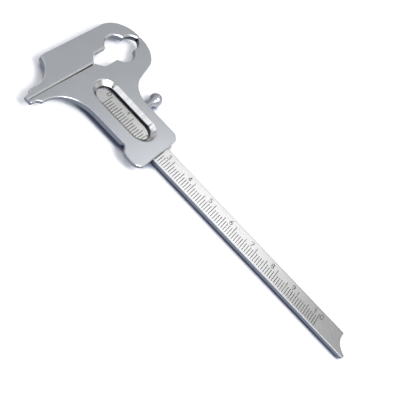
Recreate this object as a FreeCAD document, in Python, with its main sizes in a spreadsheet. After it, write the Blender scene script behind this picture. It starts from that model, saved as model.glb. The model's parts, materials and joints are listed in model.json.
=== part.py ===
"""A small stainless slide caliper with a 0 to 100 mm scale.

Millimetres. +X runs along the beam from the fixed jaw to the beam's tail, +Y runs across it from the jaw tips
to the head, and +Z is the side with the scale. The origin is the middle of the caliper's footprint, on the
plane that its back lies on.
"""
import FreeCAD, Part
import math
import os
import Sketcher

V = FreeCAD.Vector

SIZES = {
    # the whole tool
    "overall_length": 138.2,
    "overall_width": 59.5,
    "travel": 100.0,
    # layers, from the back to the front
    "cover_thick": 1.0,
    "beam_thick": 1.4,
    "face_thick": 2.0,
    "play": 0.05,
    # beam and its scale
    "beam_width": 8.85,
    "beam_middle": -2.08,
    "beam_end_gap": 1.3,
    "tail_length": 4.0,
    "tail_curve": 5.5,
    "tail_rise": 3.2,
    "tail_hook": 1.42,
    "tail_round": 0.9,
    "tail_hook_round": 0.5,
    "zero_offset": 12.6,
    "mark_width": 0.26,
    "mark_depth": 0.1,
    "mark_start": 0.7,
    "mark_short": 4.0,
    "mark_middle": 5.2,
    "mark_long": 5.8,
    "digit_size": 1.0,
    "digit_stroke": 0.26,
    "digit_rise": 5.2,
    "stop_groove_depth": 0.6,
    # fixed jaw and slider
    "jaw_width": 10.97,
    "jaw_gap": 0.04,
    "seam_relief": 0.36,
    "seam_relief_end": -20.0,
    "jaw_bevel": 0.45,
    "edge_break": 0.2,
    "nib_thick": 1.3,
    "slider_length": 37.5,
    "slider_low": -13.05,
    "slider_high": 7.7,
    "slider_corner": 1.9,
    "slider_corner_round": 0.9,
    "jaw_corner_round": 1.1,
    "tip_step_round": 0.5,
    "tab_drop": 3.1,
    "jaw_sweep": 12.0,
    "head_corner": 10.2,
    "head_notch": 0.35,
    "opening_low": 2.9,
    "opening_high": 28.25,
    "opening_bevel_reach": 6.6,
    "tab_thick": 1.2,
    "tab_start": 27.4,
    "tab_relief": 1.2,
    "block_low": -10.4,
    "block_high": 7.2,
    "block_inset": 0.4,
    "block_round": 2.4,
    "notch_reach": 3.7,
    "notch_low": 2.95,
    "gib_space": 0.75,
    # reading window
    "window_offset": 19.15,
    "window_length": 26.9,
    "window_width": 11.56,
    "bevel_width": 1.75,
    "bevel_depth": 1.2,
    "vernier_pitch": 0.9,
    "vernier_mark": 0.17,
    "vernier_depth": 0.08,
    # lock screw and the pad it presses
    "lock_offset": 21.65,
    "lock_height": 2.5,
    "lock_thread": 1.95,
    "lock_neck": 2.4,
    "lock_ball": 4.9,
    "lock_ball_middle": 14.35,
    "lock_pad_thick": 0.6,
    # gib strip and its two screws
    "gib_thick": 0.35,
    "gib_length": 31.8,
    "gib_start": 4.5,
    "gib_screw": 1.1,
    "gib_screw_length": 2.4,
    "gib_screw_height": 1.75,
    # countersunk screws, dowels and the stop
    "screw_shank": 1.5,
    "screw_head": 2.7,
    "screw_head_depth": 0.6,
    "cover_screw_length": 3.2,
    "jaw_screw_length": 3.7,
    "screw_slot": 0.35,
    "dowel": 1.2,
    "stop_pin": 1.6,
}

doc = FreeCAD.newDocument("slide_caliper")
sheet = doc.addObject("Spreadsheet::Sheet", "sizes")
for row, (alias, value) in enumerate(SIZES.items(), start=1):
    sheet.set(f"A{row}", alias)
    sheet.set(f"B{row}", str(value))
    sheet.setAlias(f"B{row}", alias)
doc.recompute()

# Places that several parts share, worked out from the sheet.
JAW_PLANE = "(sizes.jaw_width - sizes.overall_length / 2)"
BACK_EDGE = "(-sizes.overall_length / 2)"
SLIDER_END = "(sizes.jaw_width + sizes.slider_length - sizes.overall_length / 2)"
BEAM_LOW = "(sizes.beam_middle - sizes.beam_width / 2)"
BEAM_HIGH = "(sizes.beam_middle + sizes.beam_width / 2)"
BEAM_START = "(sizes.beam_end_gap - sizes.overall_length / 2)"
BEAM_BOTTOM = "(sizes.cover_thick + sizes.play)"
BEAM_TOP = "(sizes.cover_thick + sizes.play + sizes.beam_thick)"
FACE_BOTTOM = "(sizes.cover_thick + 2 * sizes.play + sizes.beam_thick)"
FACE_TOP = "(sizes.cover_thick + 2 * sizes.play + sizes.beam_thick + sizes.face_thick)"
ZERO_MARK = "(sizes.jaw_width + sizes.zero_offset - sizes.overall_length / 2)"
CHANNEL_DEPTH = "(2 * sizes.play + sizes.beam_thick)"

# Screw places, measured from the jaw plane in X and from the origin in Y.
COVER_SCREWS = [(2.8, -8.65), (34.6, -8.65), (6.0, 5.1), (34.6, 5.1)]
JAW_SCREWS = [(-7.9, -4.9), (-7.9, 0.4), (-2.6, -2.25)]
JAW_DOWELS = [(-5.2, -4.9), (-5.2, 0.4)]
GIB_SCREWS = [8.8, 30.8]
STOP_OFFSET = 5.0


def number(value):
    """A plain number as it is, or the value of one alias or of an expression over the sheet."""
    if not isinstance(value, str):
        return float(value)
    text = value if "sizes." in value else f"sizes.{value}"
    return float(sheet.evalExpression(text))


jaw_x = number(JAW_PLANE)
top_y = number("overall_width") / 2
face_z = number(FACE_TOP)


# ---- sketch and feature helpers

def new_body(label):
    """An empty body named after its part."""
    body = doc.addObject("PartDesign::Body", label)
    body.Label = label
    return body


def new_sketch(body, name, offset="0", role="XY_Plane"):
    """A sketch on one of the body's own planes, moved along that plane's normal by an expression."""
    sketch = body.newObject("Sketcher::SketchObject", name)
    plane = [feature for feature in body.Origin.OriginFeatures if feature.Role == role][0]
    sketch.AttachmentSupport = (plane, "")
    sketch.MapMode = "FlatFace"
    sketch.setExpression("AttachmentOffset.Base.z", offset)
    return sketch


def rounded(corners):
    """The runs and arcs of a closed outline.

    A corner is (x, y), or (x, y, radius) where it is rounded. A corner ("by", x, y) is a point that an arc
    passes through between its two neighbours.
    """
    count = len(corners)
    stops = []
    for index, corner in enumerate(corners):
        if corner[0] == "by":
            continue
        here = V(corner[0], corner[1], 0)
        if len(corner) == 2:
            stops.append((index, here, None, here))
            continue
        before, after = corners[index - 1], corners[(index + 1) % count]
        to_before = (V(before[0], before[1], 0) - here).normalize()
        to_after = (V(after[0], after[1], 0) - here).normalize()
        half = to_before.getAngle(to_after) / 2
        middle = here + (to_before + to_after).normalize() * (corner[2] / math.sin(half))
        crown = middle + (here - middle).normalize() * corner[2]
        reach = corner[2] / math.tan(half)
        stops.append((index, here + to_before * reach, crown, here + to_after * reach))
    edges = []
    for stop, following in zip(stops, stops[1:] + stops[:1]):
        index, entry, crown, leave = stop
        if crown:
            edges.append(Part.Arc(entry, crown, leave))
        between = corners[(index + 1) % count]
        if between[0] == "by":
            edges.append(Part.Arc(leave, V(between[1], between[2], 0), following[1]))
        elif (following[1] - leave).Length > 1e-6:
            edges.append(Part.LineSegment(leave, following[1]))
    return edges


def draw(sketch, corners):
    """Draws a closed outline into a sketch."""
    for edge in rounded(corners):
        sketch.addGeometry(edge, False)


def hold(sketch, constraint, value):
    """Adds a constraint, and binds its size where that is an expression."""
    index = sketch.addConstraint(constraint)
    if isinstance(value, str):
        sketch.setExpression(f"Constraints[{index}]", value)


def draw_box(sketch, left, low, right, high):
    """A rectangle whose four sides are held at numbers or expressions."""
    corners = [(left, low), (right, low), (right, high), (left, high)]
    places = [V(number(x), number(y), 0) for x, y in corners]
    first = sketch.GeometryCount
    for here, there in zip(places, places[1:] + places[:1]):
        sketch.addGeometry(Part.LineSegment(here, there), False)
    for side in range(4):
        sketch.addConstraint(Sketcher.Constraint("Coincident", first + side, 2, first + (side + 1) % 4, 1))
        kind = "Vertical" if side % 2 else "Horizontal"
        sketch.addConstraint(Sketcher.Constraint(kind, first + side))
    for edge, kind, value in ((0, "DistanceX", left), (0, "DistanceY", low),
                              (2, "DistanceX", right), (2, "DistanceY", high)):
        hold(sketch, Sketcher.Constraint(kind, -1, 1, first + edge, 1, number(value)), value)


def draw_circle(sketch, middle_x, middle_y, diameter):
    """A circle whose middle and diameter are held at numbers or expressions."""
    middle = V(number(middle_x), number(middle_y), 0)
    index = sketch.addGeometry(Part.Circle(middle, V(0, 0, 1), number(diameter) / 2), False)
    for kind, value in (("DistanceX", middle_x), ("DistanceY", middle_y)):
        hold(sketch, Sketcher.Constraint(kind, -1, 1, index, 3, number(value)), value)
    hold(sketch, Sketcher.Constraint("Diameter", index, number(diameter)), diameter)


def draw_slot(sketch, middle_x, middle_y, length, width):
    """A slot with round ends along X."""
    x, y, radius = length / 2, width / 2, width / 2
    signs = ((-1, -1), (1, -1), (1, 1), (-1, 1))
    draw(sketch, [(middle_x + a * x, middle_y + b * y, radius) for a, b in signs])


def pad(body, sketch, length):
    """Material from the sketch along its plane's normal."""
    feature = body.newObject("PartDesign::Pad", f"{sketch.Label}_pad")
    feature.Profile = sketch
    feature.setExpression("Length", length)
    doc.recompute()
    return feature


def pocket(body, sketch, length, along_normal=True):
    """Material removed from the sketch's plane; it has to take something away."""
    before = body.Shape.Volume
    feature = body.newObject("PartDesign::Pocket", f"{sketch.Label}_pocket")
    feature.Profile = sketch
    feature.setExpression("Length", length)
    feature.Reversed = along_normal
    doc.recompute()
    if not body.Shape.Volume < before - 1e-4:
        raise RuntimeError(f"{feature.Label} cuts nothing")
    return feature


def edges_where(shape, test):
    """Names of the edges whose middle point passes a test."""
    names = []
    for index, edge in enumerate(shape.Edges, start=1):
        middle = edge.valueAt((edge.FirstParameter + edge.LastParameter) / 2)
        if test(edge, middle):
            names.append(f"Edge{index}")
    return names


def chamfer(body, test, width):
    """A chamfer on the tip's edges that pass a test."""
    base = body.Tip
    names = edges_where(base.Shape, test)
    feature = body.newObject("PartDesign::Chamfer", f"{body.Label}_chamfer")
    feature.Base = (base, names)
    feature.setExpression("Size", width)
    doc.recompute()
    return feature


def flat_at(height):
    """A test for edges that lie in the plane Z = height."""
    def test(edge, middle):
        box = edge.BoundBox
        return abs(box.ZMin - height) < 1e-4 and abs(box.ZMax - height) < 1e-4
    return test


def cutout(side, waist, upper_seam, lower_seam):
    """One half of the three-lobed head opening, from its top point at the seam down to its lower point."""
    return [
        (upper_seam, number("opening_high")),
        ("by", jaw_x + side * (waist - 0.45), 25.9),
        (jaw_x + side * waist, 22.5),
        ("by", jaw_x + side * 5.85, 17.45),
        (jaw_x + side * waist, 12.35),
        (jaw_x + side * (waist + 0.1), 5.7, 2.0),
        (lower_seam, number("opening_low")),
    ]


def block_outline(side):
    """Outline of the thick part behind a jaw, notched so that the head opening stays clear."""
    low, high = number("block_low"), number("block_high")
    notch_y = number("notch_low")
    notch_x = jaw_x + side * number("notch_reach")
    if side < 0:
        near, far = jaw_x, number(BACK_EDGE) + 2 * number("block_inset")
    else:
        near, far = jaw_x + number("block_inset"), number(SLIDER_END) - number("block_inset")
    outer = (far, low, number("block_round"))
    return [(near, low), outer, (far, high), (notch_x, high), (notch_x, notch_y), (near, notch_y)]


# ---- parts on the beam

def make_beam_blank():
    """Beam with a hooked tail, a mark every millimetre and a blind groove behind for the stop."""
    body = new_body("beam_blank")
    left, right = number(BEAM_START), number("overall_length") / 2
    low, high = number(BEAM_LOW), number(BEAM_HIGH)
    shoulder = right - number("tail_length")
    outline = new_sketch(body, "beam_outline", BEAM_BOTTOM)
    draw(outline, [
        (left, low),
        (right, low, number("tail_round")),
        (right, low + number("tail_hook"), number("tail_hook_round")),
        (shoulder, low + number("tail_rise"), number("tail_curve")),
        (shoulder, high),
        (left, high),
    ])
    pad(body, outline, "sizes.beam_thick")
    top = number(BEAM_TOP)
    chamfer(body, flat_at(top), "sizes.edge_break")
    groove = new_sketch(body, "stop_groove", BEAM_BOTTOM)
    width = number("stop_pin") + 2 * number("play")
    travel = number("travel")
    middle = jaw_x + STOP_OFFSET + travel / 2
    draw_slot(groove, middle, number("beam_middle"), travel + width, width)
    pocket(body, groove, "sizes.stop_groove_depth")
    holes = new_sketch(body, "beam_holes", BEAM_BOTTOM)
    for x, y in JAW_SCREWS:
        draw_circle(holes, f"{JAW_PLANE} + {x}", y, "sizes.screw_shank + 2 * sizes.play")
    for x, y in JAW_DOWELS:
        draw_circle(holes, f"{JAW_PLANE} + {x}", y, "sizes.dowel")
    pocket(body, holes, "sizes.beam_thick")
    marks = new_sketch(body, "scale_marks", BEAM_TOP)
    half = number("mark_width") / 2
    start_y = low + number("mark_start")
    for step in range(int(travel) + 1):
        length = number("mark_long" if step % 10 == 0 else "mark_middle" if step % 5 == 0 else "mark_short")
        x = number(ZERO_MARK) + step
        draw(marks, [(x - half, start_y), (x + half, start_y), (x + half, start_y + length),
                     (x - half, start_y + length)])
    pocket(body, marks, "sizes.mark_depth", along_normal=False)
    return body


# Number strokes on a box 1 wide and 2 high: straight runs, and arcs given by a middle point.
DIGITS = {
    "0": [[(0, 0.5), (0.5, 0), (1, 0.5)], [(1, 0.5), (1, 1.5)],
          [(1, 1.5), (0.5, 2), (0, 1.5)], [(0, 1.5), (0, 0.5)]],
    "1": [[(0.15, 1.55), (0.6, 2)], [(0.6, 2), (0.6, 0)]],
    "2": [[(0, 1.45), (0.5, 2), (1, 1.45)], [(1, 1.45), (0, 0)], [(0, 0), (1, 0)]],
    "3": [[(0.05, 1.8), (0.95, 1.55), (0.4, 1.08)], [(0.4, 1.08), (1, 0.5), (0, 0.22)]],
    "4": [[(0.75, 0), (0.75, 2)], [(0.75, 2), (0, 0.6)], [(0, 0.6), (1.05, 0.6)]],
    "5": [[(0.95, 2), (0.15, 2)], [(0.15, 2), (0.08, 1.1)], [(0.08, 1.1), (1.02, 0.62), (0.02, 0.2)]],
    "6": [[(0, 0.55), (0.5, 0.02), (1, 0.55)], [(1, 0.55), (0.5, 1.1), (0, 0.55)],
          [(0, 0.55), (0.25, 1.45), (0.8, 2)]],
    "7": [[(0, 2), (1, 2)], [(1, 2), (0.35, 0)]],
    "8": [[(0, 0.52), (0.5, 0), (1, 0.52)], [(1, 0.52), (0.5, 1.06), (0, 0.52)],
          [(0.06, 1.52), (0.5, 1.06), (0.94, 1.52)], [(0.94, 1.52), (0.5, 2), (0.06, 1.52)]],
    "9": [[(1, 1.45), (0.5, 1.98), (0, 1.45)], [(0, 1.45), (0.5, 0.9), (1, 1.45)],
          [(1, 1.45), (0.75, 0.55), (0.2, 0)]],
}


def stroke_solid(points, width, height, depth):
    """One engraved stroke: a round-ended bar along a line or an arc, cut down from a height."""
    half = width / 2
    ends = [points[0], points[-1]]
    pieces = [Part.makeCylinder(half, depth, V(x, y, height - depth)) for x, y in ends]
    if len(points) == 2:
        start, end = V(*points[0], 0), V(*points[1], 0)
        side = (end - start).cross(V(0, 0, 1))
        side.normalize()
        side = side * half
        corners = [start + side, end + side, end - side, start - side, start + side]
        wire = Part.makePolygon(corners)
    else:
        circle = Part.Arc(*[V(x, y, 0) for x, y in points]).toShape().Curve
        rims = []
        for rim in (circle.Radius + half, circle.Radius - half):
            scale = rim / circle.Radius
            rims.append([circle.Center + (V(x, y, 0) - circle.Center) * scale for x, y in points])
        outer, inner = [Part.Arc(*rim).toShape() for rim in rims]
        sides = [Part.makeLine(rims[0][k], rims[1][k]) for k in (0, 2)]
        wire = Part.Wire(Part.__sortEdges__([outer, sides[1], inner, sides[0]]))
    bar = Part.Face(wire)
    bar.translate(V(0, 0, height - depth))
    pieces.append(bar.extrude(V(0, 0, depth)))
    return pieces


def make_digits():
    """The numbers 0 to 10 as one engraving tool, each just left of its long mark, the last astride it."""
    unit = number("digit_size")
    width = number("digit_stroke")
    top = number(BEAM_TOP) + 0.02
    depth = number("mark_depth") + 0.02
    low = number(BEAM_LOW) + number("digit_rise")
    strokes = []
    for tens in range(11):
        mark = number(ZERO_MARK) + 10 * tens
        if tens == 0:
            starts = [("0", mark - 1.9 * unit)]
        elif tens < 10:
            starts = [(str(tens), mark - 2.9 * unit)]
        else:
            starts = [("1", mark - 2.5 * unit), ("0", mark + 0.6 * unit)]
        for text, left in starts:
            for stroke in DIGITS[text]:
                points = [(left + unit * x, low + unit * y) for x, y in stroke]
                strokes.extend(stroke_solid(points, width, top, depth))
    tool = doc.addObject("Part::Feature", "digit_tool")
    tool.Shape = strokes[0].multiFuse(strokes[1:])
    return tool


def make_scale_beam():
    """The beam with its numbers engraved."""
    engraved = doc.addObject("Part::Cut", "beam")
    engraved.Base = make_beam_blank()
    engraved.Tool = make_digits()
    engraved.Label = "beam"
    return engraved


def taper_nibs(body, left, right):
    """Thins the jaw's back from the beam towards its tips."""
    tips = new_sketch(body, f"{body.Label}_tip_taper", left, role="YZ_Plane")
    low, back = -top_y - 1, number(FACE_BOTTOM)
    thin = face_z - number("nib_thick")
    draw(tips, [(-13.4, back - 1), (-13.4, back), (-20.5, thin), (low, thin), (low, back - 1)])
    pocket(body, tips, f"{right} - {left}")


def make_fixed_jaw():
    """Left jaw and left half of the head, with a slot behind it for the beam's end."""
    body = new_body("fixed_jaw")
    back = number(BACK_EDGE)
    notch = number("head_notch")
    outline = new_sketch(body, "fixed_jaw_outline", FACE_BOTTOM)
    draw(outline, [
        (jaw_x, -top_y),
        (jaw_x - 1.65, -top_y, 0.7),
        (jaw_x - 1.95, -27.1, number("tip_step_round")),
        (jaw_x - 2.95, -26.2, number("tip_step_round")),
        (jaw_x - 2.95, -15.75, 10.0),
        (back, -13.0, number("jaw_corner_round")),
        (back, top_y, number("jaw_width") - notch),
        (jaw_x - notch, top_y),
        (jaw_x, top_y - notch),
    ] + cutout(-1, 2.8, jaw_x, jaw_x))
    pad(body, outline, "sizes.face_thick")

    def in_opening(middle):
        between = number("opening_low") - 0.5 < middle.y < number("opening_high") + 0.5
        return between and middle.x > jaw_x - number("opening_bevel_reach")

    def on_seam(edge, middle):
        return flat_at(face_z)(edge, middle) and (middle.x > jaw_x - 1e-4 or in_opening(middle))

    def on_outside(edge, middle):
        near_seam = middle.x > jaw_x - number("jaw_bevel") - 0.05
        return flat_at(face_z)(edge, middle) and not near_seam and not in_opening(middle)

    chamfer(body, on_seam, "sizes.jaw_bevel")
    chamfer(body, on_outside, "sizes.edge_break")
    block = new_sketch(body, "fixed_jaw_block", "sizes.cover_thick")
    draw(block, block_outline(-1))
    pad(body, block, CHANNEL_DEPTH)
    slot = new_sketch(body, "fixed_jaw_slot", "sizes.cover_thick")
    draw_box(slot, BEAM_START, BEAM_LOW, f"{JAW_PLANE} + 1", BEAM_HIGH)
    pocket(body, slot, CHANNEL_DEPTH)
    holes = new_sketch(body, "fixed_jaw_holes", FACE_BOTTOM)
    for x, y in JAW_SCREWS:
        draw_circle(holes, f"{JAW_PLANE} + {x}", y, "sizes.screw_shank")
    for x, y in JAW_DOWELS:
        draw_circle(holes, f"{JAW_PLANE} + {x}", y, "sizes.dowel")
    pocket(body, holes, f"sizes.jaw_screw_length + 0.2 - {FACE_BOTTOM}")
    taper_nibs(body, BACK_EDGE, JAW_PLANE)
    return body


def make_jaw_back():
    """Plate behind the fixed jaw that clamps the beam's end."""
    body = new_body("jaw_back")
    outline = new_sketch(body, "jaw_back_outline")
    draw(outline, block_outline(-1))
    pad(body, outline, "sizes.cover_thick")
    return body


# ---- parts that slide

def make_slider_body():
    """Moving jaw, right half of the head, reading window, thumb tab and the channel for the beam."""
    body = new_body("slider_body")
    left = jaw_x + number("jaw_gap")
    end = number(SLIDER_END)
    low, high = number("slider_low"), number("slider_high")
    tab_low = low - number("tab_drop")
    corner, notch = number("slider_corner"), number("head_notch")
    relieved = left + number("seam_relief")
    outline = new_sketch(body, "slider_outline", FACE_BOTTOM)
    draw(outline, [
        (left, -top_y),
        (jaw_x + 1.2, -top_y, 0.5),
        (jaw_x + 1.45, -27.2, number("tip_step_round")),
        (jaw_x + 2.65, -25.8, number("tip_step_round")),
        (jaw_x + 2.65, low, number("jaw_sweep")),
        (jaw_x + 28.2, low, 0.5),
        (jaw_x + 30.4, tab_low, 3.0),
        (end, tab_low, 3.3),
        (end, high - corner, number("slider_corner_round")),
        (end - corner, high, number("slider_corner_round")),
        (jaw_x + 14.55, high, 9.2),
        (jaw_x + 9.2, top_y, number("head_corner")),
        (jaw_x + notch, top_y),
        (left, top_y - notch),
    ] + cutout(1, 2.95, left, relieved) + [(left, number("seam_relief_end"))])
    pad(body, outline, "sizes.face_thick")
    chamfer(body, flat_at(face_z), "sizes.edge_break")
    window_x = jaw_x + number("window_offset")
    window_y = number("beam_middle") - 0.17
    long, wide = number("window_length"), number("window_width")
    bevel = 2 * number("bevel_width")
    rim = new_sketch(body, "window_rim", FACE_TOP)
    draw_slot(rim, window_x, window_y, long, wide)
    land = new_sketch(body, "window_land", f"{FACE_TOP} - sizes.bevel_depth")
    draw_slot(land, window_x, window_y, long - bevel, wide - bevel)
    before = body.Shape.Volume
    loft = body.newObject("PartDesign::SubtractiveLoft", "window_bevel")
    loft.Profile = rim
    loft.Sections = [land]
    loft.Ruled = True
    doc.recompute()
    if not body.Shape.Volume < before - 50:
        raise RuntimeError("the window's bevel cuts nothing")
    opening = new_sketch(body, "window_opening", FACE_BOTTOM)
    draw_slot(opening, window_x, window_y, long - bevel, wide - bevel)
    pocket(body, opening, "sizes.face_thick")
    block = new_sketch(body, "slider_block", "sizes.cover_thick")
    draw(block, block_outline(1))
    pad(body, block, CHANNEL_DEPTH)
    channel = new_sketch(body, "slider_channel", "sizes.cover_thick")
    draw_box(channel, f"{JAW_PLANE} - 1", f"{BEAM_LOW} - sizes.play",
             f"{SLIDER_END} + 1", f"{BEAM_HIGH} + sizes.gib_space")
    pocket(body, channel, CHANNEL_DEPTH)
    holes = new_sketch(body, "slider_screw_holes", "sizes.cover_thick")
    for x, y in COVER_SCREWS:
        draw_circle(holes, f"{JAW_PLANE} + {x}", y, "sizes.screw_shank")
    pocket(body, holes, "sizes.cover_screw_length + 0.2 - sizes.cover_thick")
    wall = "sizes.block_high - sizes.beam_middle - sizes.beam_width / 2 - sizes.gib_space + 1"
    inside_wall = f"-({BEAM_HIGH} + sizes.gib_space - 0.5)"
    gib_holes = new_sketch(body, "gib_screw_holes", inside_wall, role="XZ_Plane")
    for x in GIB_SCREWS:
        draw_circle(gib_holes, f"{JAW_PLANE} + {x}", "sizes.gib_screw_height",
                    "sizes.gib_screw + 2 * sizes.play")
    pocket(body, gib_holes, wall, along_normal=False)
    lock_hole = new_sketch(body, "lock_hole", inside_wall, role="XZ_Plane")
    draw_circle(lock_hole, f"{JAW_PLANE} + sizes.lock_offset", "sizes.lock_height",
                "sizes.lock_thread + 2 * sizes.play")
    pocket(body, lock_hole, "sizes.slider_high + 2", along_normal=False)
    thin_tab(body)
    taper_nibs(body, f"{JAW_PLANE} - 1", f"{JAW_PLANE} + 16")
    engrave_vernier(body, window_x, window_y)
    return body


def thin_tab(body):
    """Takes the back off the thumb tab."""
    tab = new_sketch(body, "tab_relief", FACE_BOTTOM)
    draw_box(tab, f"{JAW_PLANE} + sizes.tab_start", -top_y, f"{SLIDER_END} + 1",
             "sizes.slider_low + sizes.tab_relief")
    pocket(body, tab, "sizes.face_thick - sizes.tab_thick")


def engrave_vernier(body, window_x, window_y):
    """Eleven marks over nine millimetres, cut square into the window's lower bevel."""
    rim_y = window_y - number("window_width") / 2
    slope = number("bevel_depth") / number("bevel_width")
    depth = number("vernier_depth")
    profile = new_sketch(body, "vernier_mark", f"{ZERO_MARK} - sizes.vernier_mark / 2", role="YZ_Plane")
    near, far = rim_y + 0.45, rim_y + number("bevel_width") - 0.05
    near_z, far_z = face_z - slope * (near - rim_y), face_z - slope * (far - rim_y)
    draw(profile, [(near, near_z + 0.3), (near, near_z - depth), (far, far_z - depth), (far, far_z + 0.3)])
    mark = pocket(body, profile, "sizes.vernier_mark")
    row = body.newObject("PartDesign::LinearPattern", "vernier_row")
    row.Originals = [mark]
    row.Direction = ([feature for feature in body.Origin.OriginFeatures if feature.Role == "X_Axis"][0], [""])
    row.setExpression("Length", "10 * sizes.vernier_pitch")
    row.Occurrences = 11
    body.Tip = row
    doc.recompute()


def make_slider_cover():
    """Back plate of the slider, which closes the channel and is what the caliper lies on."""
    body = new_body("slider_cover")
    outline = new_sketch(body, "slider_cover_outline")
    draw(outline, block_outline(1))
    pad(body, outline, "sizes.cover_thick")
    return body


def bore_screws(body, places):
    """Countersunk holes through a back plate, wide side on the plate's outer face."""
    before = body.Shape.Volume
    holes = new_sketch(body, f"{body.Label}_screw_places")
    for x, y in places:
        draw_circle(holes, f"{JAW_PLANE} + {x}", y, "sizes.screw_shank")
    doc.recompute()
    bore = body.newObject("PartDesign::Hole", f"{body.Label}_screw_holes")
    bore.Profile = holes
    bore.Threaded = False
    bore.DepthType = "ThroughAll"
    bore.setExpression("Diameter", "sizes.screw_shank + 2 * sizes.play")
    bore.HoleCutType = "Countersink"
    bore.setExpression("HoleCutDiameter", "sizes.screw_head")
    bore.HoleCutCountersinkAngle = 90
    bore.Reversed = True
    doc.recompute()
    if not body.Shape.Volume < before - 1:
        raise RuntimeError(f"{bore.Label} cuts nothing")


def make_screw(label, x, y, length, shank="sizes.screw_shank"):
    """Countersunk slotted screw, its head flush with the back plane and its shank along +Z."""
    cone = doc.addObject("Part::Cone", f"{label}_head")
    cone.setExpression("Radius1", "sizes.screw_head / 2")
    cone.setExpression("Radius2", "sizes.screw_head / 2 - sizes.screw_head_depth")
    cone.setExpression("Height", "sizes.screw_head_depth")
    rod = doc.addObject("Part::Cylinder", f"{label}_shank")
    rod.setExpression("Radius", f"{shank} / 2")
    rod.setExpression("Height", length)
    whole = doc.addObject("Part::Fuse", f"{label}_whole")
    whole.Base = cone
    whole.Tool = rod
    slot = doc.addObject("Part::Box", f"{label}_slot")
    slot.setExpression("Length", "sizes.screw_head + 1")
    slot.setExpression("Width", "sizes.screw_slot")
    slot.setExpression("Height", "sizes.screw_slot")
    slot.setExpression("Placement.Base.x", "-(sizes.screw_head + 1) / 2")
    slot.setExpression("Placement.Base.y", "-sizes.screw_slot / 2")
    screw = doc.addObject("Part::Cut", label)
    screw.Base = whole
    screw.Tool = slot
    screw.Label = label
    screw.setExpression("Placement.Base.x", f"{JAW_PLANE} + {x}")
    screw.Placement.Base = V(number(f"{JAW_PLANE} + {x}"), y, 0)
    return screw


def make_rod(label, diameter, length, x, y, z, along="Z"):
    """Plain round pin along +Z, or along +Y."""
    rod = doc.addObject("Part::Cylinder", label)
    rod.Label = label
    rod.setExpression("Radius", f"({diameter}) / 2")
    rod.setExpression("Height", length)
    turn = FreeCAD.Rotation(V(1, 0, 0), -90) if along == "Y" else FreeCAD.Rotation()
    rod.Placement = FreeCAD.Placement(V(x, y, z), turn)
    return rod


def make_stop_screw():
    """Screw in the cover whose plain tip rides in the beam's groove and ends the travel."""
    screw = make_screw("stop_screw", STOP_OFFSET, number("beam_middle"),
                       "sizes.cover_thick + sizes.play + sizes.stop_groove_depth - 0.1", "sizes.stop_pin")
    return screw


def make_gib_strip():
    """Spring strip between the beam's upper edge and the channel's wall."""
    strip = doc.addObject("Part::Box", "gib_strip")
    strip.Label = "gib_strip"
    strip.setExpression("Length", "sizes.gib_length")
    strip.setExpression("Width", "sizes.gib_thick")
    strip.setExpression("Height", "sizes.beam_thick - 4 * sizes.play")
    strip.Placement.Base = V(jaw_x + number("gib_start"), number(BEAM_HIGH) + number("play"),
                             number(BEAM_BOTTOM) + 2 * number("play"))
    return strip


def make_gib_screw(label, offset):
    """Slotted set screw that presses the gib strip."""
    start_y = number(BEAM_HIGH) + 2 * number("play") + number("gib_thick")
    rod = make_rod(f"{label}_rod", "sizes.gib_screw", "sizes.gib_screw_length",
                   jaw_x + offset, start_y, number("gib_screw_height"), along="Y")
    slot = doc.addObject("Part::Box", f"{label}_slot")
    slot.setExpression("Length", "sizes.gib_screw + 1")
    slot.setExpression("Width", "sizes.screw_slot + 0.1")
    slot.setExpression("Height", "sizes.screw_slot - 0.1")
    slot.Placement.Base = V(jaw_x + offset - number("gib_screw") / 2 - 0.5,
                            start_y + number("gib_screw_length") - number("screw_slot"),
                            number("gib_screw_height") - 0.125)
    screw = doc.addObject("Part::Cut", label)
    screw.Base = rod
    screw.Tool = slot
    screw.Label = label
    return screw


def make_lock_screw():
    """Ball-headed screw through the slider's upper wall, its axis along Y."""
    body = new_body("lock_screw")
    profile = new_sketch(body, "lock_profile")
    thread = number("lock_thread") / 2
    neck = number("lock_neck") / 2
    ball = number("lock_ball") / 2
    middle = number("lock_ball_middle")
    tip = number(BEAM_HIGH) + number("gib_thick") + 3 * number("play") + number("lock_pad_thick")
    collar = number("slider_high") + 0.3
    draw(profile, [
        (0, tip),
        (thread - 0.2, tip),
        (thread, tip + 0.2),
        (thread, collar),
        (neck, collar),
        (neck, middle - 3.1, 1.5),
        (neck + 0.75, middle - math.sqrt(ball ** 2 - (neck + 0.75) ** 2)),
        ("by", ball, middle),
        (0, middle + ball),
    ])
    turned = body.newObject("PartDesign::Revolution", "lock_turned")
    turned.Profile = profile
    turned.ReferenceAxis = (profile, ["V_Axis"])
    turned.Angle = 360
    doc.recompute()
    body.Placement.Base = V(jaw_x + number("lock_offset"), 0, number("lock_height"))
    return body


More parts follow.
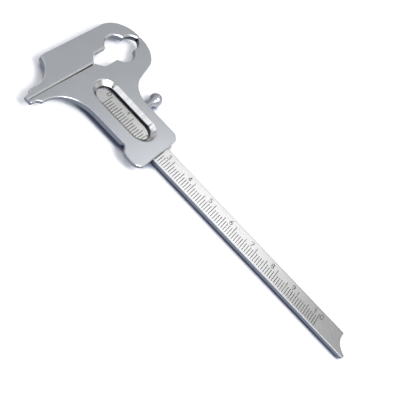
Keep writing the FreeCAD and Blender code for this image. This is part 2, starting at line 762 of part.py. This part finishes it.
def make_parts():
    """Every part of the caliper, each with its own label."""
    parts = [make_scale_beam(), make_fixed_jaw()]
    back = make_jaw_back()
    bore_screws(back, JAW_SCREWS)
    parts.append(back)
    for index, (x, y) in enumerate(JAW_SCREWS, start=1):
        parts.append(make_screw(f"jaw_screw_{index}", x, y, "sizes.jaw_screw_length"))
    for index, (x, y) in enumerate(JAW_DOWELS, start=1):
        parts.append(make_rod(f"jaw_dowel_{index}", "sizes.dowel", "sizes.beam_thick + 1.2",
                              jaw_x + x, y, number(BEAM_BOTTOM)))
    parts.append(make_slider_body())
    cover = make_slider_cover()
    bore_screws(cover, COVER_SCREWS + [(STOP_OFFSET, number("beam_middle"))])
    parts.append(cover)
    for index, (x, y) in enumerate(COVER_SCREWS, start=1):
        parts.append(make_screw(f"cover_screw_{index}", x, y, "sizes.cover_screw_length"))
    parts.append(make_stop_screw())
    parts.append(make_gib_strip())
    for index, offset in enumerate(GIB_SCREWS, start=1):
        parts.append(make_gib_screw(f"gib_screw_{index}", offset))
    parts.append(make_rod("lock_pad", "sizes.lock_thread", "sizes.lock_pad_thick",
                          jaw_x + number("lock_offset"),
                          number(BEAM_HIGH) + number("gib_thick") + 2 * number("play"),
                          number("lock_height"), along="Y"))
    parts.append(make_lock_screw())
    return parts


def export(parts):
    """Checks every object of the document, then writes one STEP file for each part."""
    doc.recompute()
    for item in doc.Objects:
        if "Invalid" in item.State or "Error" in item.State:
            raise RuntimeError(f"{item.Label} did not compute: {item.State}")
    os.makedirs("parts", exist_ok=True)
    for part in parts:
        shape = part.Shape
        if shape.isNull() or not shape.isValid() or not shape.Solids:
            raise RuntimeError(f"{part.Label} has no valid shape")
        shape.exportStep(f"parts/{part.Label}.step")
        box = shape.BoundBox
        print(f"{part.Label:15s} {len(shape.Solids)} solid {shape.Volume:9.2f} mm3  "
              f"x {box.XMin:7.2f} {box.XMax:7.2f}  y {box.YMin:7.2f} {box.YMax:7.2f}  "
              f"z {box.ZMin:6.2f} {box.ZMax:6.2f}")


export(make_parts())
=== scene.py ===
"""Looks of the slide caliper: steel finishes, rounded edges, a camera, soft studio light and a pale floor.

Lengths are in metres. MM turns millimetres into metres.
"""
import json
import math

import bmesh
import bpy
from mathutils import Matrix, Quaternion, Vector


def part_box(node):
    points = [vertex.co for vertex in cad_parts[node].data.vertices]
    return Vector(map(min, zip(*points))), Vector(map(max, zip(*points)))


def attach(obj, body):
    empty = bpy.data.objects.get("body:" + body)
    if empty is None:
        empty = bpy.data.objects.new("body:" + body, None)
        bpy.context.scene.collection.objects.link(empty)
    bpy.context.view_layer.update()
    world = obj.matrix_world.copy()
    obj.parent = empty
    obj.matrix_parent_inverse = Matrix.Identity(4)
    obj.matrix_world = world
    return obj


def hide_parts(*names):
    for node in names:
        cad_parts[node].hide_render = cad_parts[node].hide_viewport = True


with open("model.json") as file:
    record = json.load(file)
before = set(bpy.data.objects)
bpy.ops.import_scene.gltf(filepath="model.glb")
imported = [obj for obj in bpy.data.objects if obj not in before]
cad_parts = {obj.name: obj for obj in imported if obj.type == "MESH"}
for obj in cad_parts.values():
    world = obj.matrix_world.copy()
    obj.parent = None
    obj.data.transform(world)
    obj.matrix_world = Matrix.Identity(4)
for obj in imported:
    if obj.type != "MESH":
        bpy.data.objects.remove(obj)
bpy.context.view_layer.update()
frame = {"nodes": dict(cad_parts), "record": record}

MM = 0.001
BEAM_LOW, BEAM_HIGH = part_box("beam")
SLIDER_LOW, SLIDER_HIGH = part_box("slider_body")
# The middle of the reading window.
WINDOW_X, WINDOW_Y = SLIDER_LOW.x + 19.11 * MM, -2.25 * MM
BODY_OF = {node: body for body, nodes in frame["record"]["behaviour"]["bodies"].items() for node in nodes}
SLOT_OF = {node: piece.material_slots[0].name for node, piece in frame["nodes"].items()}


# ---- node helpers

class Graph:
    """Short names for the nodes of one material or world."""

    def __init__(self, tree):
        self.tree = tree
        tree.nodes.clear()

    def node(self, kind, **settings):
        """A new node with some of its properties set."""
        made = self.tree.nodes.new(kind)
        for name, value in settings.items():
            setattr(made, name, value)
        return made

    def feed(self, socket, value):
        """Links an output to a socket, or sets the socket to a plain value."""
        if isinstance(value, bpy.types.NodeSocket):
            self.tree.links.new(value, socket)
        else:
            socket.default_value = value

    def math(self, operation, first, second=0.0):
        """One arithmetic step."""
        made = self.node("ShaderNodeMath", operation=operation)
        self.feed(made.inputs[0], first)
        self.feed(made.inputs[1], second)
        return made.outputs[0]

    def ramp(self, value, start, end, low=0.0, high=1.0):
        """low up to start, high from end on, and smooth between them."""
        made = self.node("ShaderNodeMapRange", interpolation_type="SMOOTHSTEP")
        for name, number in (("Value", value), ("From Min", start), ("From Max", end),
                             ("To Min", low), ("To Max", high)):
            self.feed(made.inputs[name], number)
        return made.outputs["Result"]

    def scale(self, vector, factors):
        """A vector with each part multiplied."""
        made = self.node("ShaderNodeVectorMath", operation="MULTIPLY")
        self.feed(made.inputs[0], vector)
        made.inputs[1].default_value = factors
        return made.outputs[0]

    def place(self):
        """Place on the piece, in millimetres."""
        return self.scale(self.node("ShaderNodeTexCoord").outputs["Object"], [1 / MM] * 3)

    def facing(self):
        """The three parts of the surface's own direction."""
        return self.split(self.node("ShaderNodeTexCoord").outputs["Normal"])

    def split(self, vector):
        """The three parts of a vector."""
        made = self.node("ShaderNodeSeparateXYZ")
        self.feed(made.inputs[0], vector)
        return made.outputs

    def join(self, x, y, z):
        """A vector from three parts."""
        made = self.node("ShaderNodeCombineXYZ")
        for socket, value in zip(made.inputs, (x, y, z)):
            self.feed(socket, value)
        return made.outputs[0]

    def noise(self, stretch, vector=None, detail=2.0):
        """Noise with stretch cells to a millimetre on each axis, around 0.5."""
        made = self.node("ShaderNodeTexNoise")
        self.feed(made.inputs["Vector"], self.scale(vector or self.place(), stretch))
        made.inputs["Scale"].default_value = 1.0
        made.inputs["Detail"].default_value = detail
        return made.outputs["Fac"]

    def mix(self, share, first, second):
        """A colour: first where share is 0, second where it is 1."""
        made = self.node("ShaderNodeMix", data_type="RGBA")
        sockets = {socket.identifier: socket for socket in list(made.inputs) + list(made.outputs)}
        self.feed(sockets["Factor_Float"], share)
        self.feed(sockets["A_Color"], first)
        self.feed(sockets["B_Color"], second)
        return sockets["Result_Color"]

    def blend(self, share, first, second):
        """A number: first where share is 0, second where it is 1."""
        made = self.node("ShaderNodeMix", data_type="FLOAT")
        self.feed(made.inputs["Factor"], share)
        self.feed(made.inputs["A"], first)
        self.feed(made.inputs["B"], second)
        return made.outputs["Result"]

    def bump(self, height, depth, normal=None):
        """A surface direction from a height of 0 to 1 that stands for depth metres."""
        made = self.node("ShaderNodeBump")
        made.inputs["Strength"].default_value = 1.0
        made.inputs["Distance"].default_value = depth
        self.feed(made.inputs["Height"], height)
        if normal:
            self.feed(made.inputs["Normal"], normal)
        return made.outputs["Normal"]

    def metal(self, colour, roughness, normal=None):
        """Finishes the material as bare metal."""
        shader = self.node("ShaderNodeBsdfPrincipled")
        shader.inputs["Metallic"].default_value = 1.0
        self.feed(shader.inputs["Base Color"], colour)
        self.feed(shader.inputs["Roughness"], roughness)
        if normal:
            self.feed(shader.inputs["Normal"], normal)
        output = self.node("ShaderNodeOutputMaterial")
        self.tree.links.new(shader.outputs[0], output.inputs["Surface"])


def new_material(name):
    """An empty node material and its graph."""
    material = bpy.data.materials.new(name)
    material.use_nodes = True
    return material, Graph(material.node_tree)


def grey(level, tint=(1.0, 1.0, 1.0)):
    """An opaque grey with a slight tint."""
    return [level * part for part in tint] + [1.0]


COOL = (0.96, 1.0, 1.06)
BLUE_DARK = (0.85, 1.0, 1.25)
BLUE_PALE = (0.9, 1.0, 1.15)


# ---- steel finishes

def zones(graph):
    """Shares of a plate's surface that are flat faces, and that are walls; the rest is bevels."""
    upright = graph.math("ABSOLUTE", graph.facing()[2])
    flat = graph.ramp(upright, 0.93, 0.99)
    wall = graph.ramp(upright, 0.45, 0.25)
    return flat, wall


def painted_gap_shade(graph, wall):
    """Share of painted shade, near black, on the walls of the reading window below its bevel, and on the
    slider's wall in the gap along the seam.
    """
    half_long, half_wide, fade = 12.0, 4.3, 0.1
    bevel_depth, seam_width = 1.35, 0.45
    x, y, z = graph.split(graph.place())
    off_x = graph.math("ABSOLUTE", graph.math("SUBTRACT", x, WINDOW_X / MM))
    off_y = graph.math("ABSOLUTE", graph.math("SUBTRACT", y, WINDOW_Y / MM))
    window = graph.math("MULTIPLY", graph.ramp(off_x, half_long + fade, half_long - fade),
                        graph.ramp(off_y, half_wide + fade, half_wide - fade))
    from_jaw = graph.math("ABSOLUTE", graph.math("SUBTRACT", x, SLIDER_LOW.x / MM))
    seam = graph.math("MULTIPLY", graph.ramp(from_jaw, seam_width, seam_width - 0.05),
                      graph.ramp(y, -19.0, -10.0))
    deep = graph.ramp(z, SLIDER_HIGH.z / MM - bevel_depth, SLIDER_HIGH.z / MM - bevel_depth - 0.2)
    return graph.math("MULTIPLY", graph.math("MAXIMUM", graph.math("MULTIPLY", window, deep), seam), wall)


def blasted_steel():
    """Bead-blasted faces, polished bevels painted lighter as part painted highlight, and finely milled
    walls painted dark and blue as part painted shade, with painted shade near the base.

    The soft edges are shading, by the Bevel node: the meshes themselves are close to sharp there.
    """
    edge_softness = 0.42 * MM
    material, graph = new_material("blasted_steel")
    flat, wall = zones(graph)
    beads = graph.noise([9, 9, 9], detail=3)
    patches = graph.noise([0.12, 0.12, 0.12], detail=3)
    streaks = graph.noise([0.25, 0.25, 13], detail=3)
    face_colour = graph.mix(patches, grey(0.47, COOL), grey(0.53, COOL))
    # Walls: milled steel painted dark and blue, partly its own tone and partly painted shade.
    wall_tone_and_shade = graph.mix(streaks, grey(0.12, BLUE_DARK), grey(0.25, BLUE_PALE))
    # Painted shade: the walls darken to near black towards the floor.
    base_shade = graph.ramp(graph.split(graph.place())[2], 1.9, 0.6, 0.0, 0.75)
    wall_tone_and_shade = graph.mix(base_shade, wall_tone_and_shade, grey(0.04, BLUE_DARK))
    # Bevels painted lighter than the faces: polished steel, partly a painted highlight; with lighter and
    # darker bands along x.
    bands = graph.noise([1.3, 0.02, 0.02], detail=1)
    bevel_tone_and_highlight = graph.mix(graph.ramp(bands, 0.35, 0.65), grey(0.62), grey(0.76))
    colour = graph.mix(flat, graph.mix(wall, bevel_tone_and_highlight, wall_tone_and_shade), face_colour)
    face_rough = graph.blend(beads, 0.25, 0.34)
    roughness = graph.blend(flat, graph.blend(wall, 0.20, 0.34), face_rough)
    height = graph.blend(flat, graph.blend(wall, 0.5, streaks), beads)
    soft = graph.node("ShaderNodeBevel", samples=8)
    soft.inputs["Radius"].default_value = edge_softness
    # Painted shade: the window's inner walls and the seam gap are painted near black.
    graph.metal(graph.mix(painted_gap_shade(graph, wall), colour, grey(0.01)), roughness,
                graph.bump(height, 0.002 * MM, soft.outputs["Normal"]))
    return material


def satin_steel():
    """Satin beam: streaks along its length, dark engraved marks, walls painted dark and blue as part
    painted shade, and painted shade along the upper edge.
    """
    material, graph = new_material("satin_steel")
    flat, wall = zones(graph)
    x, y, z = graph.split(graph.place())
    tail, upper_edge, face = (part / MM for part in BEAM_HIGH)
    lower_edge = BEAM_LOW.y / MM
    sunk = graph.ramp(z, face - 0.015, face - 0.05)
    inside = graph.math("MULTIPLY", graph.ramp(y, lower_edge + 0.5, lower_edge + 0.6),
                        graph.ramp(x, tail - 8.0, tail - 9.0))
    front = graph.ramp(z, face - 0.3, face - 0.2)
    mark = graph.math("MULTIPLY", graph.math("MULTIPLY", sunk, inside), front)
    streaks = graph.noise([0.05, 5, 5], detail=2)
    patches = graph.noise([0.08, 0.2, 0.2], detail=2)
    face_colour = graph.mix(patches, grey(0.57), grey(0.63))
    # Walls painted dark and blue: partly the steel's tone, partly painted shade.
    wall_tone_and_shade = graph.mix(streaks, grey(0.12, BLUE_DARK), grey(0.25, BLUE_PALE))
    colour = graph.mix(flat, graph.mix(wall, grey(0.62), wall_tone_and_shade), face_colour)
    # Painted shade: a dark band along the beam's upper edge, standing in for a rounded edge.
    upper_edge_shade = graph.math("MULTIPLY", flat, graph.ramp(y, upper_edge - 1.1, upper_edge - 0.2, 0.0, 0.35))
    colour = graph.mix(upper_edge_shade, colour, grey(0.28))
    colour = graph.mix(mark, colour, grey(0.16))
    roughness = graph.blend(flat, 0.25, graph.blend(streaks, 0.255, 0.265))
    roughness = graph.blend(mark, roughness, 0.55)
    graph.metal(colour, roughness)
    return material


def ground_steel():
    """Back plates with straight grinding lines across them, and walls painted near black and blue as
    painted shade.
    """
    material, graph = new_material("ground_steel")
    wall = zones(graph)[1]
    lines = graph.noise([15, 0.12, 15], detail=3)
    patches = graph.noise([0.15, 0.15, 0.15], detail=2)
    colour = graph.mix(patches, grey(0.40, COOL), grey(0.50, COOL))
    # Painted shade: the walls are painted near black and blue.
    colour = graph.mix(wall, colour, grey(0.045, (0.8, 1.0, 1.4)))
    graph.metal(colour, graph.blend(lines, 0.26, 0.42), graph.bump(lines, 0.003 * MM))
    return material


def turned_steel():
    """Satin turned steel: faint rings round the lock screw's axis under a fine tumbled grain."""
    material, graph = new_material("turned_steel")
    along = graph.split(graph.place())[1]
    rings = graph.noise([0, 7, 0], vector=graph.join(0.0, along, 0.0), detail=3)
    grain = graph.noise([6, 6, 6], detail=3)
    patches = graph.noise([0.5, 0.5, 0.5], detail=2)
    colour = graph.mix(patches, grey(0.36, COOL), grey(0.46, COOL))
    height = graph.math("ADD", graph.math("MULTIPLY", rings, 0.5), grain)
    graph.metal(colour, graph.blend(grain, 0.36, 0.46), graph.bump(height, 0.001 * MM))
    return material


def screw_steel():
    """Turned screw heads: rings round each screw's own middle, a little darker than the plates."""
    material, graph = new_material("screw_steel")
    head = 2.7
    across = graph.scale(graph.node("ShaderNodeTexCoord").outputs["Generated"], [head, head, 0])
    x, y = graph.split(across)[:2]
    off_x = graph.math("SUBTRACT", x, head / 2)
    off_y = graph.math("SUBTRACT", y, head / 2)
    radius = graph.math("SQRT", graph.math("ADD", graph.math("MULTIPLY", off_x, off_x),
                                           graph.math("MULTIPLY", off_y, off_y)))
    rings = graph.noise([12, 0, 0], vector=graph.join(radius, 0.0, 0.0), detail=2)
    colour = graph.mix(rings, grey(0.30, COOL), grey(0.42, COOL))
    graph.metal(colour, graph.blend(rings, 0.22, 0.34), graph.bump(rings, 0.002 * MM))
    return material


def spring_steel():
    """Rolled strip, smooth and slightly browned by tempering."""
    material, graph = new_material("spring_steel")
    lines = graph.noise([0.1, 14, 14], detail=2)
    heat = graph.noise([0.12, 0.3, 0.3], detail=2)
    colour = graph.mix(heat, [0.33, 0.29, 0.23, 1.0], [0.26, 0.28, 0.34, 1.0])
    graph.metal(colour, graph.blend(lines, 0.18, 0.30), graph.bump(lines, 0.001 * MM))
    return material


def pad_brass():
    """Turned brass with a little tarnish."""
    material, graph = new_material("pad_brass")
    tarnish = graph.noise([1.5, 1.5, 1.5], detail=3)
    colour = graph.mix(tarnish, [0.74, 0.55, 0.26, 1.0], [0.52, 0.38, 0.19, 1.0])
    graph.metal(colour, graph.blend(tarnish, 0.28, 0.45), graph.bump(tarnish, 0.002 * MM))
    return material


FINISHES = {
    "blasted_steel": blasted_steel(),
    "satin_steel": satin_steel(),
    "ground_steel": ground_steel(),
    "turned_steel": turned_steel(),
    "screw_steel": screw_steel(),
    "spring_steel": spring_steel(),
    "pad_brass": pad_brass(),
}


# ---- pieces

def stand_in(piece, node):
    """Makes a piece take a CAD node's place, body and finish."""
    piece.data.materials.clear()
    piece.data.materials.append(FINISHES[SLOT_OF[node]])
    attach(piece, BODY_OF[node])
    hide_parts(node)


def eased(node, width, steps=3, sharp=25.0):
    """A copy of a CAD node with its sharp edges rounded, by the given width at most.

    clamp_overlap narrows all of a piece's rounding to what its closest edges leave room for: about
    0.001 mm on the beam, 0.002 mm on the slider body, 0.015 mm on the fixed jaw and 0.067 mm on the
    slider cover. Only the back jaw plate gets the width it asks for.
    """
    mesh = frame["nodes"][node].data.copy()
    mesh.name = node + "_eased"
    piece = bpy.data.objects.new(node + "_eased", mesh)
    bpy.context.scene.collection.objects.link(piece)
    shape = bmesh.new()
    shape.from_mesh(mesh)
    bmesh.ops.remove_doubles(shape, verts=shape.verts, dist=0.0005 * MM)
    bmesh.ops.dissolve_limit(shape, angle_limit=math.radians(0.6), verts=shape.verts, edges=shape.edges,
                             use_dissolve_boundaries=False)
    edges = [edge for edge in shape.edges
             if edge.is_manifold and edge.calc_face_angle() > math.radians(sharp)]
    bmesh.ops.bevel(shape, geom=edges, offset=width, segments=steps, profile=0.5, affect="EDGES",
                    clamp_overlap=True, offset_type="OFFSET")
    for face in shape.faces:
        face.smooth = True
    shape.to_mesh(mesh)
    shape.free()
    mesh.normals_split_custom_set([(0, 0, 0)] * len(mesh.loops))
    lean = piece.modifiers.new("lean", "WEIGHTED_NORMAL")
    lean.weight = 100
    lean.keep_sharp = True
    stand_in(piece, node)


def lathe(name, node, profile, middle, sides=96):
    """A turned piece about an axis along Y; the profile lists (radius, y) from tip to head."""
    shape = bmesh.new()
    rings = []
    for radius, along in profile:
        if radius == 0:
            rings.append([shape.verts.new((middle.x, along, middle.z))])
            continue
        turns = [2 * math.pi * step / sides for step in range(sides)]
        rings.append([shape.verts.new((middle.x + radius * math.cos(turn), along,
                                       middle.z + radius * math.sin(turn))) for turn in turns])
    for inner, outer in zip(rings, rings[1:]):
        for step in range(sides):
            following = (step + 1) % sides
            if len(inner) == 1:
                shape.faces.new((inner[0], outer[following], outer[step]))
            elif len(outer) == 1:
                shape.faces.new((inner[step], inner[following], outer[0]))
            else:
                shape.faces.new((inner[step], inner[following], outer[following], outer[step]))
    bmesh.ops.recalc_face_normals(shape, faces=shape.faces)
    for face in shape.faces:
        face.smooth = True
    mesh = bpy.data.meshes.new(name)
    shape.to_mesh(mesh)
    shape.free()
    piece = bpy.data.objects.new(name, mesh)
    bpy.context.scene.collection.objects.link(piece)
    stand_in(piece, node)


def arc(middle_radius, middle_along, size, start, end, steps):
    """Profile points on a circle; angles in degrees from the outward direction towards the head."""
    turns = (math.radians(start + (end - start) * step / steps) for step in range(steps + 1))
    return [(middle_radius + size * math.cos(turn), middle_along + size * math.sin(turn)) for turn in turns]


def make_lock_screw():
    """Lock screw: threaded shank, plain neck, and a ball that the neck flares into."""
    low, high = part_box("lock_screw")
    middle = (low + high) / 2
    ball = (high.x - low.x) / 2
    ball_middle = high.y - ball
    neck, thread, pitch, flare = 1.2 * MM, 0.975 * MM, 0.4 * MM, 5.0 * MM
    root, tip, soft = thread - 0.12 * MM, thread - 0.25 * MM, 0.1 * MM
    collar = ball_middle - 6.35 * MM
    profile = [(0, low.y), (tip, low.y)]
    along = low.y + 0.2 * MM
    while along < collar - pitch:
        profile += [(root, along), (thread, along + pitch * 0.4), (thread, along + pitch * 0.6)]
        along += pitch
    profile += [(root, along), (root, collar), (neck - soft, collar)]
    reach = neck + flare
    drop = math.sqrt((ball + flare) ** 2 - reach ** 2)
    lean = math.degrees(math.atan2(drop, reach))
    profile += arc(neck - soft, collar + soft, soft, -90, 0, 3)
    profile += arc(reach, ball_middle - drop, flare, 180, 180 - lean, 10)
    profile += arc(0, ball_middle, ball, -lean, 90, 40)[1:-1] + [(0, high.y)]
    lathe("lock_screw_turned", "lock_screw", profile, middle)


def dress_nodes():
    """Gives each CAD node that stays the finish its record names."""
    for node, piece in frame["nodes"].items():
        piece.material_slots[0].material = FINISHES[SLOT_OF[node]]


# ---- camera, light and floor

def make_camera():
    """Looks down at the caliper from the front, turned so that the beam runs to the lower right."""
    camera = bpy.data.objects.new("camera", bpy.data.cameras.new("camera"))
    bpy.context.scene.collection.objects.link(camera)
    target = Vector((-0.64, -3.8, 2.45)) * MM
    distance, elevation, roll = 235.3 * MM, math.radians(44.48), math.radians(46.42)
    camera.location = target + Vector((0, -math.cos(elevation), math.sin(elevation))) * distance
    look = (target - camera.location).to_track_quat("-Z", "Y")
    camera.rotation_mode = "QUATERNION"
    camera.rotation_quaternion = look @ Quaternion((0, 0, 1), roll)
    camera.data.lens = 64.3
    camera.data.sensor_width = 36.0
    camera.data.clip_start = 1 * MM
    bpy.context.scene.camera = camera


def make_light(name, azimuth, elevation, distance, width, height, radiance):
    """A softbox seen from the caliper at an azimuth from straight behind, clockwise from above."""
    light = bpy.data.lights.new(name, "AREA")
    light.shape = "RECTANGLE"
    light.size, light.size_y = width, height
    light.energy = radiance * math.pi * width * height
    lamp = bpy.data.objects.new(name, light)
    bpy.context.scene.collection.objects.link(lamp)
    turn, rise = math.radians(azimuth), math.radians(elevation)
    flat = math.cos(rise)
    lamp.location = Vector((math.sin(turn) * flat, math.cos(turn) * flat, math.sin(rise))) * distance
    lamp.rotation_mode = "QUATERNION"
    lamp.rotation_quaternion = (-lamp.location).to_track_quat("-Z", "Y")


def make_world():
    """Soft room light from the direction's three parts: x to the right, y to the back, z up.

    It is bright behind, pale low down in front and all round the skyline, and dim high up in front, where a
    pale band crosses the right.
    """
    band_strength = 1.8
    world = bpy.data.worlds.new("studio")
    world.use_nodes = True
    bpy.context.scene.world = world
    graph = Graph(world.node_tree)
    x, y, z = graph.split(graph.node("ShaderNodeTexCoord").outputs["Generated"])
    horizon = graph.ramp(x, 0.1, 0.6, 0.30, 0.95)
    overhead = graph.ramp(x, -0.3, 0.15, 0.70, 0.50)
    sky = graph.blend(graph.ramp(z, 0.15, 0.55), horizon, overhead)
    front = graph.ramp(z, 0.42, 0.62, 0.42, 0.04)
    level = graph.blend(graph.ramp(y, -0.05, 0.3), front, sky)
    skyline = graph.ramp(z, 0.05, 0.02)
    level = graph.blend(skyline, level, 0.95)
    band = graph.math("MULTIPLY", graph.ramp(z, 0.54, 0.62), graph.ramp(z, 0.80, 0.72))
    band = graph.math("MULTIPLY", band, graph.ramp(x, -0.3, -0.1))
    band = graph.math("MULTIPLY", band, graph.ramp(y, 0.4, 0.2))
    background = graph.node("ShaderNodeBackground")
    neutral = graph.math("MAXIMUM", graph.math("MAXIMUM", graph.ramp(y, -0.05, 0.3), band), skyline)
    graph.feed(background.inputs["Color"], graph.mix(neutral, [0.75, 0.85, 1.3, 1], [1, 1, 1, 1]))
    graph.feed(background.inputs["Strength"],
               graph.math("ADD", level, graph.math("MULTIPLY", band, band_strength)))
    output = graph.node("ShaderNodeOutputWorld")
    graph.tree.links.new(background.outputs[0], output.inputs["Surface"])


def make_floor():
    """A plain pale table top with a painted contact shadow, dark and blue, where the caliper is near it,
    and as pale far from the lights.
    """
    half = 8.0
    contact_reach = 3.2 * MM
    corners = [(-half, -half, 0), (half, -half, 0), (half, half, 0), (-half, half, 0)]
    mesh = bpy.data.meshes.new("floor")
    mesh.from_pydata(corners, [], [(0, 1, 2, 3)])
    floor = bpy.data.objects.new("floor", mesh)
    bpy.context.scene.collection.objects.link(floor)
    material, graph = new_material("pale_table")
    shader = graph.node("ShaderNodeBsdfPrincipled")
    grain = graph.noise([0.4, 0.4, 0.4])
    contact_occlusion = graph.node("ShaderNodeAmbientOcclusion", samples=8)
    contact_occlusion.inputs["Distance"].default_value = contact_reach
    # Painted shadow: ambient occlusion darkens and blues the table near the caliper and turns off its glow
    # there.
    contact_shadow = graph.ramp(contact_occlusion.outputs["AO"], 0.78, 0.45)
    table = graph.mix(grain, grey(0.93), grey(0.95))
    graph.feed(shader.inputs["Base Color"], graph.mix(contact_shadow, table, grey(0.26, (0.85, 0.95, 1.35))))
    shader.inputs["Roughness"].default_value = 0.8
    shader.inputs["Specular IOR Level"].default_value = 0.0
    away = graph.node("ShaderNodeVectorMath", operation="LENGTH")
    graph.feed(away.inputs[0], graph.node("ShaderNodeTexCoord").outputs["Object"])
    shader.inputs["Emission Color"].default_value = grey(1.0)
    glow = graph.ramp(away.outputs["Value"], 0.3, 1.6, 0.14, 0.75)
    graph.feed(shader.inputs["Emission Strength"], graph.blend(contact_shadow, glow, 0.0))
    output = graph.node("ShaderNodeOutputMaterial")
    graph.tree.links.new(shader.outputs[0], output.inputs["Surface"])
    mesh.materials.append(material)


make_camera()
make_world()
make_floor()
LIGHT_DISTANCE = 0.9
for name, azimuth, elevation, width, height, radiance in (("left_key", -98, 57, 0.5, 0.5, 1.3),
                                                          ("right_key", 100, 60, 0.44, 0.44, 9.5),
                                                          ("back_softbox", 3, 55, 0.30, 0.36, 2.15),
                                                          ("top_panel", 203, 66, 0.34, 0.26, 1.25)):
    make_light(name, azimuth, elevation, LIGHT_DISTANCE, width, height, radiance)
bpy.context.scene.view_settings.view_transform = "Standard"

dress_nodes()
EDGE_WIDTHS = {"fixed_jaw": 0.06, "slider_body": 0.06, "beam": 0.03, "jaw_back": 0.08, "slider_cover": 0.08}
for node, width in EDGE_WIDTHS.items():
    eased(node, width * MM)
make_lock_screw()
